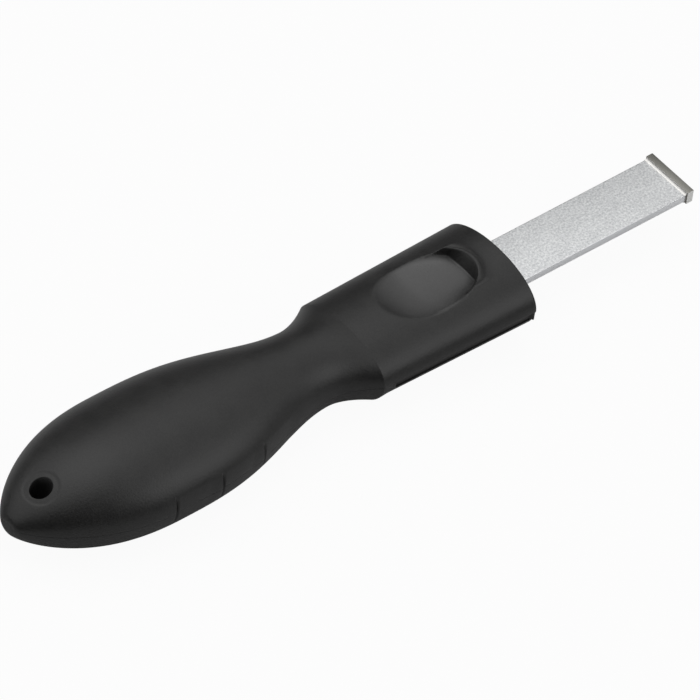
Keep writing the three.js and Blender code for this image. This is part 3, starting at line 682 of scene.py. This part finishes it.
def plated_steel(place):
    """Dull plated steel with a fine tumbled grain."""
    grain = place.noise(4200, detail=3.0)
    return {
        "Base Color": grain.blend(STEEL_DARK, STEEL_LIGHT),
        "Metallic": 1.0,
        "Roughness": 0.28 + 0.2 * grain,
        "Normal": grain.bump(0.2, 0.00002),
    }


steel = new_material("plated_screw_steel", plated_steel)
for node, sizes, x, y in SCREWS:
    turned = [pan_screw(**sizes) + np.array([x, y, 0])]
    add_piece("pan_" + node, turned, [], steel, "handle", [node], "screw_steel", sharp=SCREW_SHARP)

# Stage: a pale floor under the tool, soft boxes and a dim room. The floor is white to the camera, keeps part
# of its own shading for the tool's shadow, and lets a look from below pass through.
FLOOR_HALF = 3.0
FLOOR_COLOUR = (0.62, 0.62, 0.62, 1)
FLOOR_WHITE = 0.95
ROOM_COLOUR = (0.02, 0.02, 0.021, 1)
LAMP_DISTANCE = 2.6


def floor_material():
    """Diffuse paint, mixed with a plain white for camera rays, clear from behind."""
    material = bpy.data.materials.new("pale_floor")
    material.use_nodes = True
    tree = material.node_tree
    tree.nodes.clear()
    start = Shade(tree)
    paint = start.node("ShaderNodeBsdfDiffuse", {}, {"Color": FLOOR_COLOUR})
    white = start.node("ShaderNodeEmission", {}, {"Color": (1, 1, 1, 1), "Strength": 1.0})
    seen = start.node("ShaderNodeLightPath", {}, {}, out="Is Camera Ray")
    shown = start.node("ShaderNodeMixShader", {}, {0: FLOOR_WHITE * seen, 1: paint, 2: white})
    behind = start.node("ShaderNodeNewGeometry", {}, {}, out="Backfacing")
    clear = start.node("ShaderNodeBsdfTransparent", {}, {})
    one_sided = start.node("ShaderNodeMixShader", {}, {0: behind, 1: shown, 2: clear})
    start.node("ShaderNodeOutputMaterial", {}, {"Surface": one_sided})
    return material


floor_mesh = bpy.data.meshes.new("floor")
floor_mesh.from_pydata([(-FLOOR_HALF, -FLOOR_HALF, 0), (FLOOR_HALF, -FLOOR_HALF, 0),
                        (FLOOR_HALF, FLOOR_HALF, 0), (-FLOOR_HALF, FLOOR_HALF, 0)], [], [(0, 1, 2, 3)])
floor = bpy.data.objects.new("floor", floor_mesh)
floor.data.materials.append(floor_material())
bpy.context.scene.collection.objects.link(floor)

world = bpy.data.worlds.new("room")
world.use_nodes = True
world.node_tree.nodes["Background"].inputs["Color"].default_value = ROOM_COLOUR
bpy.context.scene.world = world


def soft_box(name, towards, half_angle, radiance):
    """Square area lamp in a direction from the tool, as wide as the half angle asks, facing the tool."""
    place = Vector(towards).normalized() * LAMP_DISTANCE
    lamp = bpy.data.lights.new(name, "AREA")
    lamp.shape = "SQUARE"
    lamp.size = 2 * LAMP_DISTANCE * np.tan(np.radians(half_angle))
    lamp.energy = radiance * np.pi * lamp.size ** 2
    made = bpy.data.objects.new(name, lamp)
    made.location = place
    made.rotation_euler = (-place).to_track_quat("-Z", "Y").to_euler()
    bpy.context.scene.collection.objects.link(made)


soft_box("overhead_box", (-0.288, 0.419, 0.861), 38.5, 1.1)
soft_box("near_box", (0.49, -0.7, 0.52), 15.8, 2.2)
soft_box("front_box", (0.509, 0.052, 0.859), 36.4, 0.8)

# Camera: a long lens from above the tail on the near side, rolled a little, so that the tool runs up to the
# right as in the photograph with next to no perspective.
RIGHT = Vector((0.7521, -0.648, 0.1199))
UP = Vector((0.3942, 0.5883, 0.706))
PIXELS, PIXELS_PER_MM = 700, 5.043
AIM_RIGHT, AIM_UP = 1.44, -0.07
DISTANCE = 6.1

lens = bpy.data.cameras.new("long_lens")
lens.sensor_width = 36.0
lens.lens = lens.sensor_width * DISTANCE / (PIXELS / PIXELS_PER_MM * MM)
camera = bpy.data.objects.new("long_lens", lens)
back = RIGHT.cross(UP).normalized()
right = RIGHT.normalized()
facing = Matrix((right, back.cross(right), back)).transposed().to_4x4()
target = Vector((0, 0, ORIGIN.z)) + RIGHT * AIM_RIGHT * MM + UP * AIM_UP * MM
camera.matrix_world = Matrix.Translation(target + back * DISTANCE) @ facing
bpy.context.scene.collection.objects.link(camera)
bpy.context.scene.camera = camera
bpy.context.scene.view_settings.view_transform = "Standard"
